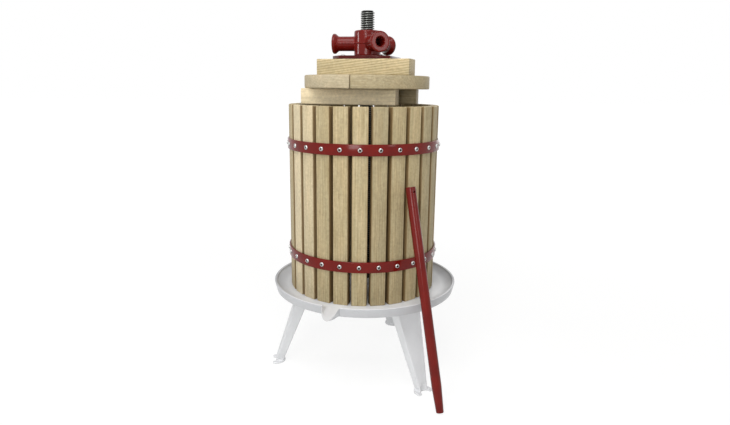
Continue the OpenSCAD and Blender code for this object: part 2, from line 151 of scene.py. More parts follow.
# Studio, in metres and watts: a pale floor, a white backdrop and soft lamps,
# strongest from above and the front left
studio = dict(floor="#F4F4F2", floorSize=40, ambient=0.38, floorGlow=0.8, glowPower=1.06,
              shadowReach=(0.5, 2.2), aim=(0, 0, 0.38))
lamps = dict(
    key=dict(place=(-0.52, -1.86, 0.62), size=0.5, power=7.0),
    fill=dict(place=(1.1, -1.45, 0.77), size=0.3, power=1.6),
    side=dict(place=(-1.5, 0.0, 0.75), size=0.22, power=3),
    top=dict(place=(-0.24, -0.8, 1.75), size=1.1, power=18.5),
    back=dict(place=(0.9, 1.7, 0.9), size=1.2, power=5),
    glint=dict(place=(-0.7, -1.5, 1.0), size=0.16, power=2.6))


def backdropRays(tree):
    path = addNode(tree, "ShaderNodeLightPath")
    seen = addNode(tree, "ShaderNodeMath", dict(operation="MAXIMUM"),
                   {0: path.outputs["Is Camera Ray"], 1: path.outputs["Is Glossy Ray"]})
    return addNode(tree, "ShaderNodeMath", dict(operation="MAXIMUM"),
                   {0: seen.outputs[0], 1: path.outputs["Is Transmission Ray"]}).outputs[0]


def makeBackdrop(s):
    world = bpy.data.worlds.new("studioWorld")
    bpy.context.scene.world = world
    world.use_nodes = True
    tree = world.node_tree
    tree.nodes.clear()
    soft = addNode(tree, "ShaderNodeBackground", None, {"Color": (1, 1, 1, 1), "Strength": s["ambient"]})
    white = addNode(tree, "ShaderNodeBackground", None, {"Color": (1, 1, 1, 1), "Strength": 1.0})
    mix = addNode(tree, "ShaderNodeMixShader", None,
                  {0: backdropRays(tree), 1: soft.outputs[0], 2: white.outputs[0]})
    addNode(tree, "ShaderNodeOutputWorld", None, {"Surface": mix.outputs[0]})


def makeFloor(s):
    bm = bmesh.new()
    bmesh.ops.create_grid(bm, x_segments=1, y_segments=1, size=s["floorSize"] / 2)
    mesh = bpy.data.meshes.new("studioFloor")
    bm.to_mesh(mesh)
    bm.free()
    material = bpy.data.materials.new("paleFloor")
    material.use_nodes = True
    tree = material.node_tree
    tree.nodes.clear()
    paint = addNode(tree, "ShaderNodeBsdfDiffuse", None, {"Color": hexColour(s["floor"])})
    glow = addNode(tree, "ShaderNodeEmission", None, {"Color": (1, 1, 1, 1), "Strength": s["glowPower"]})
    # Away from the press the floor runs out into the white of the backdrop
    coords = addNode(tree, "ShaderNodeTexCoord")
    away = addNode(tree, "ShaderNodeVectorMath", dict(operation="LENGTH"), {0: coords.outputs["Object"]})
    near, far = s["shadowReach"]
    whiter = addNode(tree, "ShaderNodeMapRange", None,
                     {"Value": away.outputs["Value"], "From Min": near, "From Max": far,
                      "To Min": s["floorGlow"], "To Max": 1.0})
    share = addNode(tree, "ShaderNodeMath", dict(operation="MULTIPLY"),
                    {0: backdropRays(tree), 1: whiter.outputs[0]})
    mix = addNode(tree, "ShaderNodeMixShader", None,
                  {0: share.outputs[0], 1: paint.outputs[0], 2: glow.outputs[0]})
    addNode(tree, "ShaderNodeOutputMaterial", None, {"Surface": mix.outputs[0]})
    mesh.materials.append(material)
    floor = bpy.data.objects.new("studioFloor", mesh)
    bpy.context.scene.collection.objects.link(floor)


def makeLamps(s, sources):
    for name, lamp in sources.items():
        data = bpy.data.lights.new(name + "Lamp", "AREA")
        data.shape, data.size, data.energy = "SQUARE", lamp["size"], lamp["power"]
        source = bpy.data.objects.new(name + "Lamp", data)
        bpy.context.scene.collection.objects.link(source)
        source.location = lamp["place"]
        aim = Vector(s["aim"]) - source.location
        source.rotation_euler = aim.to_track_quat("-Z", "Y").to_euler()


makeBackdrop(studio)
makeFloor(studio)
makeLamps(studio, lamps)
bpy.context.scene.view_settings.view_transform = "Standard"
print("camera, floor and lamps made")

# Oak, sawn and planed and left bare: straw-coloured wood with uneven darker streaks along the grain,
# faint growth rings, and open pores that show as short dark dashes, drawn wider than life so that they show
oak = dict(pale="#BCAE8A", dark="#9E8C65", pore="#6B5738", grey="#B9B2A4", warm="#C1AA83", stain="#6E5530",
           ring=4.4, ringShare=0.2, ringTaper=0.05, ringWobble=5, streakWide=2.4, streakLong=55,
           poreWide=0.8, poreLong=12, poreShare=0.5, toneWide=22, toneLong=120, warmShare=0.6,
           fleckWide=5, fleckLong=4.5, fleckWeight=1.3, mottle=(0.86, 1.13), gapShadeShare=0.85,
           rough=(0.5, 0.68), shine=0.3, relief=0.15)
# A wave texture's ring is this share of a unit wide at a scale of 1
waveWidth = 0.31416


# A mottle that is drawn out along the grain
def grainFigure(tree, grain, wide, long, detail):
    space = addNode(tree, "ShaderNodeMapping", None,
                    {"Vector": grain, "Scale": (1 / (wide * mm), 1 / (wide * mm), 1 / (long * mm))})
    noise = addNode(tree, "ShaderNodeTexNoise", None,
                    {"Vector": space.outputs[0], "Scale": 1.0, "Detail": detail, "Roughness": 0.62})
    return noise.outputs["Fac"]


# toGrain takes a point of the press to the log: z along the grain, the heart of the tree at x = y = 0
def oakMaterial(name, toGrain, tint=1.0, fade=0.0, ringShare=None, look=oak):
    material, tree, shader = newMaterial(name)
    place, turn = toGrain.decompose()[:2]
    grey = hexColour(look["grey"])

    def tinted(code):
        return [tint * (c * (1 - fade) + g * fade) for c, g in zip(hexColour(code)[:3], grey)] + [1.0]

    coords = addNode(tree, "ShaderNodeTexCoord")
    grain = addNode(tree, "ShaderNodeMapping", None,
                    {"Vector": coords.outputs["Object"], "Location": place,
                     "Rotation": turn.to_euler()}).outputs[0]
    ringSpace = addNode(tree, "ShaderNodeMapping", None,
                        {"Vector": grain, "Scale": (1, 1, look["ringTaper"])})
    rings = addNode(tree, "ShaderNodeTexWave", dict(wave_type="RINGS", rings_direction="Z"),
                    {"Vector": ringSpace.outputs[0], "Scale": waveWidth / (look["ring"] * mm),
                     "Distortion": look["ringWobble"], "Detail": 3, "Detail Scale": 0.3,
                     "Detail Roughness": 0.65})
    ringTone = addNode(tree, "ShaderNodeMapRange", None,
                       {"Value": rings.outputs["Fac"], "From Min": 0.35, "From Max": 1.0})
    streaks = grainFigure(tree, grain, look["streakWide"], look["streakLong"], 5)
    streakTone = addNode(tree, "ShaderNodeMapRange", None,
                         {"Value": streaks, "From Min": 0.36, "From Max": 0.68})
    share = look["ringShare"] if ringShare is None else ringShare
    figure = addNode(tree, "ShaderNodeMix", dict(data_type="FLOAT"),
                     {0: share, 2: streakTone.outputs[0], 3: ringTone.outputs[0]})
    patches = grainFigure(tree, grain, look["toneWide"], look["toneLong"], 3)
    warmth = addNode(tree, "ShaderNodeMapRange", None,
                     {"Value": patches, "From Min": 0.42, "From Max": 0.7, "To Max": look["warmShare"]})
    ground = addNode(tree, "ShaderNodeMix", dict(data_type="RGBA"),
                     {0: warmth.outputs[0], 6: tinted(look["pale"]), 7: tinted(look["warm"])})
    wood = addNode(tree, "ShaderNodeMix", dict(data_type="RGBA"),
                   {0: figure.outputs[0], 6: ground.outputs[2], 7: tinted(look["dark"])})
    pores = grainFigure(tree, grain, look["poreWide"], look["poreLong"], 2)
    poreMask = addNode(tree, "ShaderNodeMapRange", None,
                       {"Value": pores, "From Min": 0.57, "From Max": 0.72, "To Max": look["poreShare"]})
    bare = addNode(tree, "ShaderNodeMix", dict(data_type="RGBA"),
                   {0: poreMask.outputs[0], 6: wood.outputs[2], 7: tinted(look["pore"])})
    # Ray flecks lie across the grain and mottle the planed face
    flecks = grainFigure(tree, grain, look["fleckWide"], look["fleckLong"], 2)
    mottle = addNode(tree, "ShaderNodeMath", dict(operation="MULTIPLY_ADD"),
                     {0: flecks, 1: look["fleckWeight"], 2: patches})
    darkest, lightest = look["mottle"]
    tone = addNode(tree, "ShaderNodeMapRange", None,
                   {"Value": mottle.outputs[0], "From Min": 0.8, "From Max": 1.5,
                    "To Min": darkest, "To Max": lightest})
    toned = addNode(tree, "ShaderNodeHueSaturation", None,
                    {"Color": bare.outputs[2], "Value": tone.outputs[0]})
    # Painted shade: the narrow sides that face each other across the gaps are darkened to a deep brown
    sides = addNode(tree, "ShaderNodeAttribute", dict(attribute_name="gapShade"))
    gapShadeAmount = addNode(tree, "ShaderNodeMath", dict(operation="MULTIPLY"),
                     {0: sides.outputs["Fac"], 1: look["gapShadeShare"]})
    shade = addNode(tree, "ShaderNodeMix", dict(data_type="RGBA"),
                    {0: gapShadeAmount.outputs[0], 6: toned.outputs[0], 7: hexColour(look["stain"])})
    tree.links.new(shade.outputs[2], shader.inputs["Base Color"])
    smoothest, roughest = look["rough"]
    rough = addNode(tree, "ShaderNodeMapRange", None,
                    {"Value": streaks, "From Min": 0.3, "From Max": 0.7,
                     "To Min": smoothest, "To Max": roughest})
    tree.links.new(rough.outputs[0], shader.inputs["Roughness"])
    height = addNode(tree, "ShaderNodeMath", dict(operation="MULTIPLY_ADD"),
                     {0: poreMask.outputs[0], 1: -1.0, 2: figure.outputs[0]})
    bump = addNode(tree, "ShaderNodeBump", None,
                   {"Height": height.outputs[0], "Strength": 0.35, "Distance": look["relief"] * mm})
    tree.links.new(bump.outputs[0], shader.inputs["Normal"])
    shader.inputs["Specular IOR Level"].default_value = look["shine"]
    return material


# Enamel on iron and steel: even deep red with a wet gloss, a faint orange-peel ripple,
# and duller, browner places along rubbed edges. Castings show the sand under it, drawn coarser than life
redEnamel = dict(deep="#62100A", bright="#6E140C", rubbed="#46120F", patch=30)
# The pressure plate's red is darker and browner than the rest
darkerEnamel = dict(deep="#42100C", bright="#551713", rubbed="#33180F", patch=18)
enamelCoat = dict(peel=1.6, peelDepth=0.06, sand=4.5, sandDepth=0.4, rough=(0.11, 0.2), shine=0.2)


def redMaterial(name, look=redEnamel, castGrain=0.0, coat=enamelCoat):
    material, tree, shader = newMaterial(name)
    coords = addNode(tree, "ShaderNodeTexCoord")
    patches = addNode(tree, "ShaderNodeTexNoise", None,
                      {"Vector": coords.outputs["Object"], "Scale": 1 / (look["patch"] * mm), "Detail": 4})
    spread = addNode(tree, "ShaderNodeMapRange", None,
                     {"Value": patches.outputs["Fac"], "From Min": 0.35, "From Max": 0.65})
    paint = addNode(tree, "ShaderNodeMix", dict(data_type="RGBA"),
                    {0: spread.outputs[0], 6: hexColour(look["deep"]), 7: hexColour(look["bright"])})
    edge = addNode(tree, "ShaderNodeAttribute", dict(attribute_name="rubbed"))
    wearAndShade = addNode(tree, "ShaderNodeMath", dict(operation="MULTIPLY"),
                   {0: edge.outputs["Fac"], 1: spread.outputs[0]})
    colour = addNode(tree, "ShaderNodeMix", dict(data_type="RGBA"),
                     {0: wearAndShade.outputs[0], 6: paint.outputs[2], 7: hexColour(look["rubbed"])})
    tree.links.new(colour.outputs[2], shader.inputs["Base Color"])
    smoothest, roughest = coat["rough"]
    rough = addNode(tree, "ShaderNodeMapRange", None,
                    {"Value": patches.outputs["Fac"], "From Min": 0.3, "From Max": 0.7,
                     "To Min": smoothest, "To Max": roughest})
    tree.links.new(rough.outputs[0], shader.inputs["Roughness"])
    peel = addNode(tree, "ShaderNodeTexNoise", None,
                   {"Vector": coords.outputs["Object"], "Scale": 1 / (coat["peel"] * mm), "Detail": 2})
    fine = addNode(tree, "ShaderNodeBump", None,
                   {"Height": peel.outputs["Fac"], "Strength": 0.2, "Distance": coat["peelDepth"] * mm})
    last = fine
    if castGrain:
        sand = addNode(tree, "ShaderNodeTexNoise", None,
                       {"Vector": coords.outputs["Object"], "Scale": 1 / (coat["sand"] * mm), "Detail": 3})
        last = addNode(tree, "ShaderNodeBump", None,
                       {"Height": sand.outputs["Fac"], "Strength": castGrain,
                        "Distance": coat["sandDepth"] * mm, "Normal": fine.outputs[0]})
    tree.links.new(last.outputs[0], shader.inputs["Normal"])
    shader.inputs["Specular IOR Level"].default_value = coat["shine"]
    return material


# White stove paint on castings: satin, neutral, with soft dimples from the sand mould under it, drawn
# coarser than life, and painted shade: greyer up the wall of the tray to the left and right and on its outer
# skirt
whitePaint = dict(clean="#DFE0E2", dull="#D6D7D9", thin="#A3A4A7", patch=70, dimple=3.5, dimpleDepth=0.2,
                  rough=(0.36, 0.5))


def whiteMaterial(look=whitePaint):
    material, tree, shader = newMaterial("whiteStovePaint")
    coords = addNode(tree, "ShaderNodeTexCoord")
    patches = addNode(tree, "ShaderNodeTexNoise", None,
                      {"Vector": coords.outputs["Object"], "Scale": 1 / (look["patch"] * mm), "Detail": 4})
    spread = addNode(tree, "ShaderNodeMapRange", None,
                     {"Value": patches.outputs["Fac"], "From Min": 0.35, "From Max": 0.65})
    paint = addNode(tree, "ShaderNodeMix", dict(data_type="RGBA"),
                    {0: spread.outputs[0], 6: hexColour(look["clean"]), 7: hexColour(look["dull"])})
    wearAndShade = addNode(tree, "ShaderNodeAttribute", dict(attribute_name="thin"))
    colour = addNode(tree, "ShaderNodeMix", dict(data_type="RGBA"),
                     {0: wearAndShade.outputs["Fac"], 6: paint.outputs[2], 7: hexColour(look["thin"])})
    tree.links.new(colour.outputs[2], shader.inputs["Base Color"])
    smoothest, roughest = look["rough"]
    rough = addNode(tree, "ShaderNodeMapRange", None,
                    {"Value": patches.outputs["Fac"], "From Min": 0.3, "From Max": 0.7,
                     "To Min": smoothest, "To Max": roughest})
    tree.links.new(rough.outputs[0], shader.inputs["Roughness"])
    dimples = addNode(tree, "ShaderNodeTexNoise", None,
                      {"Vector": coords.outputs["Object"], "Scale": 1 / (look["dimple"] * mm), "Detail": 3})
    bump = addNode(tree, "ShaderNodeBump", None,
                   {"Height": dimples.outputs["Fac"], "Strength": 0.3, "Distance": look["dimpleDepth"] * mm})
    tree.links.new(bump.outputs[0], shader.inputs["Normal"])
    return material


# Zinc-plated steel: cool light grey metal with cloudy patches, and painted shade, nearly black, in the
# recesses of the screws
zinc = dict(light="#D2D3D1", cloud="#A9AAA8", pit="#2A1512", patch=3, rough=(0.25, 0.5))


def zincMaterial(look=zinc):
    material, tree, shader = newMaterial("zincPlatedSteel")
    coords = addNode(tree, "ShaderNodeTexCoord")
    clouds = addNode(tree, "ShaderNodeTexNoise", None,
                     {"Vector": coords.outputs["Object"], "Scale": 1 / (look["patch"] * mm), "Detail": 3})
    colour = addNode(tree, "ShaderNodeMix", dict(data_type="RGBA"),
                     {0: clouds.outputs["Fac"], 6: hexColour(look["light"]), 7: hexColour(look["cloud"])})
    pit = addNode(tree, "ShaderNodeAttribute", dict(attribute_name="pit"))
    recessShaded = addNode(tree, "ShaderNodeMix", dict(data_type="RGBA"),
                    {0: pit.outputs["Fac"], 6: colour.outputs[2], 7: hexColour(look["pit"])})
    tree.links.new(recessShaded.outputs[2], shader.inputs["Base Color"])
    smoothest, roughest = look["rough"]
    rough = addNode(tree, "ShaderNodeMapRange", None,
                    {"Value": clouds.outputs["Fac"], "To Min": smoothest, "To Max": roughest})
    tree.links.new(rough.outputs[0], shader.inputs["Roughness"])
    shader.inputs["Metallic"].default_value = 1.0
    return material


# Turned steel under a film of oil: dark grey, rubbed brighter on the thread's crests
# and painted nearly black in its grooves as shade
oiledSteel = dict(crest="#6E706D", groove="#1A1918", patch=6, rough=(0.28, 0.5))


def steelMaterial(look=oiledSteel):
    material, tree, shader = newMaterial("oiledSteel")
    coords = addNode(tree, "ShaderNodeTexCoord")
    groove = addNode(tree, "ShaderNodeAttribute", dict(attribute_name="groove"))
    height = addNode(tree, "ShaderNodeMath", dict(operation="SUBTRACT"), {0: 1.0, 1: groove.outputs["Fac"]})
    smears = addNode(tree, "ShaderNodeTexNoise", None,
                     {"Vector": coords.outputs["Object"], "Scale": 1 / (look["patch"] * mm), "Detail": 4})
    share = addNode(tree, "ShaderNodeMath", dict(operation="MULTIPLY_ADD"),
                    {0: smears.outputs["Fac"], 1: -0.5, 2: height.outputs[0]})
    bright = addNode(tree, "ShaderNodeMapRange", None,
                     {"Value": share.outputs[0], "From Min": -0.2, "From Max": 0.75})
    colour = addNode(tree, "ShaderNodeMix", dict(data_type="RGBA"),
                     {0: bright.outputs[0], 6: hexColour(look["groove"]), 7: hexColour(look["crest"])})
    tree.links.new(colour.outputs[2], shader.inputs["Base Color"])
    smoothest, roughest = look["rough"]
    rough = addNode(tree, "ShaderNodeMapRange", None,
                    {"Value": smears.outputs["Fac"], "To Min": smoothest, "To Max": roughest})
    tree.links.new(rough.outputs[0], shader.inputs["Roughness"])
    shader.inputs["Metallic"].default_value = 1.0
    return material


castRed = redMaterial("redEnamelOnIron", castGrain=0.18)
sheetRed = redMaterial("redEnamelOnSteel")
plateRed = redMaterial("darkerRedEnamelOnSteel", darkerEnamel)
stoveWhite = whiteMaterial()
plated = zincMaterial()
screwSteel = steelMaterial()
print("paints and metals made")

# Basket: slats round the axis, drawn at the front and turned into place
basket = dict(axis=(-5.5, 0, 170), count=26, phase=-5.3, faceR=143.5, width=28, depth=16,
              height=357, edge=1.6, seed=11, tints=(0.86, 1.02), fades=(0, 0.1),
              heartSide=(50, 130), heartBehind=(10, 60), logReach=4000)
# Tone and greyness of the slats that face the camera, numbered from the front one to the right, brought to
# the brightness each shows under the lamps: partly the wood's own tone, partly painted light and shade
slatTones = {0: (0.96, 0.0), 1: (0.82, 0.02), 2: (0.9, 0.0), 3: (1.02, 0.0), 4: (0.98, 0.05),
             22: (1.32, 0.3), 23: (1.17, 0.22), 24: (0.89, 0.0), 25: (0.94, 0.0)}


def makeSlats(b):
    chance = random.Random(b["seed"])
    axis = Matrix.Translation(Vector(b["axis"]) * mm)
    for i in range(b["count"]):
        turn = Matrix.Rotation(math.radians(b["phase"] + i * 360 / b["count"]), 4, "Z")
        middle = Vector((0, b["depth"] / 2 - b["faceR"], b["height"] / 2)) * mm
        place = axis @ turn @ Matrix.Translation(middle)
        bm = bmesh.new()
        bmesh.ops.create_cube(bm, size=1.0)
        bmesh.ops.scale(bm, vec=Vector((b["width"], b["depth"], b["height"])) * mm, verts=bm.verts)
        roundEdges(bm, b["edge"], segments=3, minAngle=40)
        # Painted shade on the narrow sides in the gaps, rising across the rounded edge to full on the side
        # faces
        gapShade = bm.verts.layers.float.new("gapShade")
        for v in bm.verts:
            v[gapShade] = min(1, max(0, (abs(v.co.x) / mm - b["width"] / 2) / b["edge"] + 1))
        bmesh.ops.transform(bm, matrix=place, verts=bm.verts)
        tint, fade = slatTones.get(i, (chance.uniform(*b["tints"]), chance.uniform(*b["fades"])))
        # The tree's heart lies well to one side, so the face shows nearly straight lines
        heart = Vector((chance.choice((-1, 1)) * chance.uniform(*b["heartSide"]),
                        chance.uniform(*b["heartBehind"]),
                        chance.uniform(-b["logReach"], b["logReach"]))) * mm
        wood = oakMaterial(f"oakSlat{i + 1:02d}", Matrix.Translation(heart) @ place.inverted(), tint, fade)
        makePiece(bm, f"oakSlat{i + 1:02d}", wood, "basket", [f"slat_{i + 1:02d}"])


makeSlats(basket)

# Hoops: flat steel bands round the slats, with rolled-off edges
hoops = dict(innerR=144.143, outerR=147.143, width=20, edge=0.9, steps=208, lower=74, upper=284)


def makeHoops(h, b):
    for name in ("lower", "upper"):
        low, high = h[name] - h["width"] / 2, h[name] + h["width"] / 2
        bm = spunRing([(h["innerR"], low), (h["outerR"], low), (h["outerR"], high), (h["innerR"], high)],
                      h["steps"], h["edge"])
        bmesh.ops.translate(bm, vec=Vector(b["axis"]) * mm, verts=bm.verts)
        makePiece(bm, name + "HoopBand", sheetRed, "basket", [name + "_hoop"])


makeHoops(hoops, basket)

# Domed cross-recessed screws: the recess is pressed down along four spokes of the dome
hoopScrew = dict(headD=8, headH=2.4, shankD=4, shankL=15, recessR=2.6, coreShare=0.7)
plateScrew = dict(headD=10, headH=3, shankD=5, shankL=24, recessR=2.8, coreShare=0.6)
# Every head: its upright share, the points of its dome, and rings on either side of the recess's edges
screwHead = dict(upright=0.2, domeAngles=(0.35, 0.7, 0.95), rimRings=(1.12, 0.95), coreGap=0.08, eye=0.3,
                 recessDepth=1.4, spokeHalf=0.5, steps=24)


def screwMesh(s, form=screwHead):
    bm = bmesh.new()
    r, h = s["headD"] / 2, s["headH"]
    shank = s["shankD"] / 2
    upright = form["upright"]
    rim = [(shank, -s["shankL"]), (shank, 0), (r, 0), (r, h * upright)]
    dome = [(r * math.cos(a), h * (upright + (1 - upright) * math.sin(a))) for a in form["domeAngles"]]
    core = s["coreShare"]
    rings = (*form["rimRings"], core + form["coreGap"], core - form["coreGap"], form["eye"])
    recess = [(s["recessR"] * k, h * (upright + (1 - upright) * math.sqrt(1 - (s["recessR"] * k / r) ** 2)))
              for k in rings]
    verts = [bm.verts.new((x * mm, 0, z * mm)) for x, z in rim + dome + recess]
    edges = [bm.edges.new((verts[i], verts[i + 1])) for i in range(len(verts) - 1)]
    bmesh.ops.spin(bm, geom=verts + edges, cent=(0, 0, 0), axis=(0, 0, 1), dvec=(0, 0, 0),
                   angle=2 * math.pi, steps=form["steps"], use_merge=True, use_duplicate=False)
    bmesh.ops.remove_doubles(bm, verts=bm.verts, dist=weld)
    bmesh.ops.holes_fill(bm, edges=bm.edges, sides=0)
    pit = bm.verts.layers.float.new("pit")
    for v in bm.verts:
        out = math.hypot(v.co.x, v.co.y)
        # A spoke lies on every quarter turn
        angle = math.degrees(math.atan2(v.co.y, v.co.x)) + 360
        spoke = (angle + form["spokeHalf"]) % 90 < 2 * form["spokeHalf"]
        if v.co.z > 0 and (out < s["recessR"] * core * mm or (spoke and out < s["recessR"] * mm)):
            v.co.z -= form["recessDepth"] * mm
            # The pressed-down recess is marked for painted shade
            v[pit] = 1
    bmesh.ops.recalc_face_normals(bm, faces=bm.faces)
    mesh = bpy.data.meshes.new("screwPattern")
    bm.to_mesh(mesh)
    bm.free()
    return mesh


# Each screw stops at a turn of its own
def makeScrews(name, pattern, places, body, replaced):
    chance = random.Random(len(name))
    bm = bmesh.new()
    for place in places:
        before = len(bm.verts)
        bm.from_mesh(pattern)
        bm.verts.ensure_lookup_table()
        turn = Matrix.Rotation(chance.uniform(0, math.pi), 4, "Z")
        bmesh.ops.transform(bm, matrix=place @ turn, verts=bm.verts[before:])
    makePiece(bm, name, plated, body, [replaced], sharp=40)


def hoopScrewPlaces(height, h, b):
    for i in range(b["count"]):
        yield (Matrix.Translation((Vector(b["axis"]) + Vector((0, 0, height))) * mm)
               @ Matrix.Rotation(math.radians(b["phase"] + i * 360 / b["count"]), 4, "Z")
               @ Matrix.Translation((0, -h["outerR"] * mm, 0)) @ Matrix.Rotation(math.pi / 2, 4, "X"))


hoopPattern = screwMesh(hoopScrew)
for level in ("lower", "upper"):
    makeScrews(level + "HoopScrewHeads", hoopPattern, hoopScrewPlaces(hoops[level], hoops, basket),
               "basket", level + "_hoop_screws")
print("basket made")

# Tray: the dish is spun, finer where the lip comes, then its rim is pulled out and down into a pouring lip.
# Each side of the lip has its half width and the power of its curve
tray = dict(boreR=10.15, bossR=30, bossTop=178, bossLow=157, floorR=157, floorZ=170, floorT=5, rimR=183.5,
            rimZ=180, lip=5, wallSteps=10, draft=4.5, skirtLow=162, skirtT=5, hollow=1.5, edge=1.3,
            lipAz=-111, lipReach=29.5, lipT=5, pullSoft=2.5, sinkSoft=7, channelZ=165,
            lipSides=dict(left=(22, 1.75), right=(13, 1.25)),
            sector=18, sectorSteps=72, restSteps=228, topSkin=1, trayShadeFrom=144, trayShadeSkirt=0.6,
            trayShadeSidePower=4, upward=0.5)


def trayProfile(t):
    inner = t["rimR"] - t["lip"]
    foot = t["rimR"] - t["draft"]
    under = t["floorZ"] - t["floorT"]
    angles = [math.pi / 2 * k / t["wallSteps"] for k in range(t["wallSteps"] + 1)]
    wall = [(t["floorR"] + (inner - t["floorR"]) * math.sin(a),
             t["floorZ"] + (t["rimZ"] - t["floorZ"]) * (1 - math.cos(a))) for a in angles]
    return ([(t["boreR"], t["bossLow"]), (t["boreR"], t["bossTop"]), (t["bossR"], t["bossTop"]),
             (t["bossR"], t["floorZ"])] + wall
            + [(t["rimR"], t["rimZ"]), (foot, t["skirtLow"]), (foot - t["skirtT"], t["skirtLow"]),
               (foot - t["skirtT"], under + t["hollow"]), (t["floorR"], under), (t["bossR"], under),
               (t["bossR"], t["bossLow"])])


def softStep(share):
    return share * share * (3 - 2 * share)


def pullLip(bm, t, thin):
    for v in bm.verts:
        r = v.co.to_2d().length / mm
        off = math.atan2(v.co.y, v.co.x) - math.radians(t["lipAz"])
        across = r * math.sin(off)
        half, power = t["lipSides"]["right" if across > 0 else "left"]
        if r < t["floorR"] or abs(across) > half or math.cos(off) < 0:
            continue
        inset = half - abs(across)
        full = 1 - (abs(across) / half) ** power
        pull = full * softStep(min(1, inset / t["pullSoft"]))
        sink = math.sqrt(full) * softStep(min(1, inset / t["sinkSoft"]))
        out = min(1, (r - t["floorR"]) / (t["rimR"] - t["floorR"]))
        z = v.co.z / mm
        if z > t["floorZ"] - t["topSkin"]:
            z += (t["floorZ"] + (t["channelZ"] - t["floorZ"]) * out - z) * sink
        else:
            under = t["rimZ"] + (t["channelZ"] - t["rimZ"]) * sink - t["lipT"]
            z += max(0, under - z) * pull * out
        wide = (r + t["lipReach"] * pull * out) / r
        v.co = (v.co.x * wide, v.co.y * wide, z * mm)
        # The pouring lip is left clear of the painted shade
        v[thin] *= 1 - pull


# Painted shade: the paint is made greyer up the wall to the left and right, and on the outer skirt
def paintTrayShade(bm, t):
    thin = bm.verts.layers.float.new("thin")
    inner = t["rimR"] - t["lip"]
    bm.normal_update()
    for v in bm.verts:
        r = v.co.to_2d().length / mm
        side = abs(v.co.x) / (r * mm)
        if r > t["trayShadeFrom"] and (r <= inner or v.normal.z > t["upward"]):
            rise = min(1, (r - t["trayShadeFrom"]) / (inner - t["trayShadeFrom"]))
            v[thin] = softStep(rise) * side ** t["trayShadeSidePower"]
        elif r > inner:
            v[thin] = t["trayShadeSkirt"]
    return thin


def makeTray(t):
    bm = bmesh.new()
    start = math.radians(t["lipAz"] - t["sector"] / 2)
    east, north = math.cos(start) * mm, math.sin(start) * mm
    verts = [bm.verts.new((r * east, r * north, z * mm)) for r, z in trayProfile(t)]
    ring = verts + [bm.edges.new((verts[i - 1], verts[i])) for i in range(len(verts))]
    for sweep, steps in ((t["sector"], t["sectorSteps"]), (360 - t["sector"], t["restSteps"])):
        turned = bmesh.ops.spin(bm, geom=ring, cent=(0, 0, 0), axis=(0, 0, 1), dvec=(0, 0, 0),
                                angle=math.radians(sweep), steps=steps, use_merge=False,
                                use_duplicate=False)
        ring = turned["geom_last"]
    bmesh.ops.remove_doubles(bm, verts=bm.verts, dist=weld)
    bmesh.ops.recalc_face_normals(bm, faces=bm.faces)
    roundEdges(bm, t["edge"], segments=3, minAngle=40)
    pullLip(bm, t, paintTrayShade(bm, t))
    makePiece(bm, "trayCasting", stoveWhite, "base", ["tray"], sharp=60)


makeTray(tray)

# Legs: sand castings, so every edge is run round
legs = dict(voxel=1.2, passes=10)


# A copy of a CAD node with its edges melted away
def castCopy(node, voxel, passes, strength=0.5):
    bm = bmesh.new()
    bm.from_mesh(nodes[node].data)
    bmesh.ops.remove_doubles(bm, verts=bm.verts, dist=weld)
    mesh = bpy.data.meshes.new(node + "Pattern")
    bm.to_mesh(mesh)
    bm.free()
    pattern = bpy.data.objects.new(node + "Pattern", mesh)
    bpy.context.scene.collection.objects.link(pattern)
    remesh = pattern.modifiers.new("remesh", "REMESH")
    remesh.mode, remesh.voxel_size = "VOXEL", voxel * mm
    smooth = pattern.modifiers.new("smooth", "SMOOTH")
    smooth.factor, smooth.iterations = strength, passes
    cast = pattern.evaluated_get(bpy.context.evaluated_depsgraph_get())
    bm = bmesh.new()
    bm.from_mesh(cast.to_mesh())
    cast.to_mesh_clear()
    bpy.data.objects.remove(pattern)
    bm.normal_update()
    return bm


for node in ("left_leg", "front_leg", "rear_leg"):
    leg = castCopy(node, legs["voxel"], legs["passes"])
    makePiece(leg, node.replace("_leg", "LegCasting"), stoveWhite, "base", [node], sharp=80)
print("tray and legs made")

# Press screw: a 26 x 4 mm trapezoidal thread cut on the rod, with a chamfered top
thread = dict(crestR=13.0, rootR=10.2, pitch=4.0, crest=1.4, root=1.2, low=176, top=698, chamfer=2.2,
              steps=28, turnGap=0.02, topGap=0.01, cutGap=0.0001,
              shankR=10.0, shankLow=133, shankLap=1, shankSteps=48)


